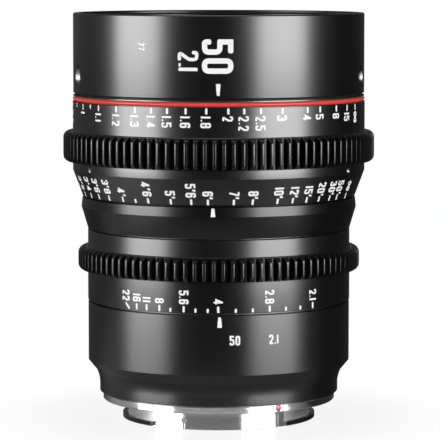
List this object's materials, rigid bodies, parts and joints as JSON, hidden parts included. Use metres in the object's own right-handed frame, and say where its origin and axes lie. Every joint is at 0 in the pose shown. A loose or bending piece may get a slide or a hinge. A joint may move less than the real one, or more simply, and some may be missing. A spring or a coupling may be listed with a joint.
{
  "type": "cinema prime lens",
  "caption": "Fixed focal length lens for a cine camera: stacked black barrel, geared focus and iris rings with scales, iris blades, glass and a chrome bayonet",
  "frame": {"origin": "centre of the register face of the bayonet flange", "axes": "+Z along the optical axis towards the front, -Y towards the index marks"},
  "size_m": [0.0856, 0.0856, 0.1119],
  "materials": {
    "chrome": "brushed and plated",
    "steel_screw": "bright",
    "black_screw": "black oxide",
    "red_enamel": "gloss enamel",
    "red_ring": "satin anodised red",
    "shim_steel": "ground",
    "inner_black": "matt black anodised",
    "barrel_black": "satin black anodised",
    "gear_black": "gloss black anodised",
    "tube_alloy": "turned and grey anodised",
    "brass": "turned",
    "glide_plastic": "natural acetal",
    "glass": "coated optical glass",
    "blade_black": "blackened"
  },
  "bodies": {
    "housing": {"bayonet_mount": "chrome", "mount_screws": "steel_screw", "bayonet_stop_pin": "chrome", "alignment_dot": "red_enamel", "mount_shim": "shim_steel", "rear_baffle": "inner_black", "rear_barrel": "barrel_black", "main_tube": "tube_alloy", "index_ring": "barrel_black", "rear_glide_ring": "glide_plastic", "front_glide_ring": "glide_plastic", "front_barrel": "barrel_black", "front_barrel_screws": "black_screw", "front_trim_ring": "inner_black"},
    "iris_ring": {"iris_ring": "barrel_black", "iris_gear": "gear_black", "iris_clamp_ring": "barrel_black", "iris_drive_pin": "brass"},
    "focus_ring": {"focus_ring": "barrel_black", "focus_ring_screws": "black_screw", "focus_gear": "gear_black", "metre_ring": "barrel_black", "accent_ring": "red_ring", "focus_end_ring": "barrel_black", "cam_sleeve": "tube_alloy"},
    "optical_unit": {"rear_cell": "inner_black", "front_cell": "inner_black", "cam_followers": "brass", "iris_cover": "inner_black", "front_element": "glass", "second_element": "glass", "third_element": "glass", "front_retaining_ring": "inner_black", "front_spacer": "inner_black", "inner_retaining_ring": "inner_black", "fourth_element": "glass", "fifth_element": "glass", "rear_element": "glass", "rear_spacer": "inner_black", "rear_inner_spacer": "inner_black", "rear_retaining_ring": "inner_black"},
    "iris_cam_ring": {"iris_cam_ring": "tube_alloy"},
    "iris_blade_1": {"iris_blade_1": "blade_black"},
    "iris_blade_2": {"iris_blade_2": "blade_black"},
    "iris_blade_3": {"iris_blade_3": "blade_black"},
    "iris_blade_4": {"iris_blade_4": "blade_black"},
    "iris_blade_5": {"iris_blade_5": "blade_black"},
    "iris_blade_6": {"iris_blade_6": "blade_black"},
    "iris_blade_7": {"iris_blade_7": "blade_black"},
    "iris_blade_8": {"iris_blade_8": "blade_black"}
  },
  "joints": [
    {"name": "iris_turn", "type": "hinge", "parent": "housing", "child": "iris_ring", "pos_m": [0, 0, 0.0375], "axis": [0, 0, 1], "range_deg": [-43.8, 41]},
    {"name": "focus_turn", "type": "hinge", "parent": "housing", "child": "focus_ring", "pos_m": [0, 0, 0.07], "axis": [0, 0, 1], "range_deg": [-66.5, 233.5]},
    {"name": "focus_slide", "type": "slide", "parent": "housing", "child": "optical_unit", "axis": [0, 0, 1], "range_m": [-0.0014, 0.00491]},
    {"name": "iris_cam_turn", "type": "hinge", "parent": "optical_unit", "child": "iris_cam_ring", "pos_m": [0, 0, 0.039], "axis": [0, 0, 1], "range_deg": [-43.85, 41.05]},
    {"name": "blade_1_swing", "type": "hinge", "parent": "optical_unit", "child": "iris_blade_1", "pos_m": [0.025, 0, 0.038], "axis": [0, 0, 1], "range_deg": [-14.64, 13.71]},
    {"name": "blade_2_swing", "type": "hinge", "parent": "optical_unit", "child": "iris_blade_2", "pos_m": [0.01768, 0.01768, 0.038], "axis": [0, 0, 1], "range_deg": [-14.64, 13.71]},
    {"name": "blade_3_swing", "type": "hinge", "parent": "optical_unit", "child": "iris_blade_3", "pos_m": [0, 0.025, 0.038], "axis": [0, 0, 1], "range_deg": [-14.64, 13.71]},
    {"name": "blade_4_swing", "type": "hinge", "parent": "optical_unit", "child": "iris_blade_4", "pos_m": [-0.01768, 0.01768, 0.038], "axis": [0, 0, 1], "range_deg": [-14.64, 13.71]},
    {"name": "blade_5_swing", "type": "hinge", "parent": "optical_unit", "child": "iris_blade_5", "pos_m": [-0.025, 0, 0.038], "axis": [0, 0, 1], "range_deg": [-14.64, 13.71]},
    {"name": "blade_6_swing", "type": "hinge", "parent": "optical_unit", "child": "iris_blade_6", "pos_m": [-0.01768, -0.01768, 0.038], "axis": [0, 0, 1], "range_deg": [-14.64, 13.71]},
    {"name": "blade_7_swing", "type": "hinge", "parent": "optical_unit", "child": "iris_blade_7", "pos_m": [0, -0.025, 0.038], "axis": [0, 0, 1], "range_deg": [-14.64, 13.71]},
    {"name": "blade_8_swing", "type": "hinge", "parent": "optical_unit", "child": "iris_blade_8", "pos_m": [0.01768, -0.01768, 0.038], "axis": [0, 0, 1], "range_deg": [-14.64, 13.71]}
  ],
  "couplings": [
    {"joint": "focus_slide", "follows": "focus_turn", "m_per_rad": 0.0012032},
    {"joint": "iris_cam_turn", "follows": "iris_turn", "ratio": 1},
    {"joint": "blade_1_swing", "follows": "iris_turn", "ratio": 0.33308},
    {"joint": "blade_2_swing", "follows": "iris_turn", "ratio": 0.33308},
    {"joint": "blade_3_swing", "follows": "iris_turn", "ratio": 0.33308},
    {"joint": "blade_4_swing", "follows": "iris_turn", "ratio": 0.33308},
    {"joint": "blade_5_swing", "follows": "iris_turn", "ratio": 0.33308},
    {"joint": "blade_6_swing", "follows": "iris_turn", "ratio": 0.33308},
    {"joint": "blade_7_swing", "follows": "iris_turn", "ratio": 0.33308},
    {"joint": "blade_8_swing", "follows": "iris_turn", "ratio": 0.33308}
  ]
}
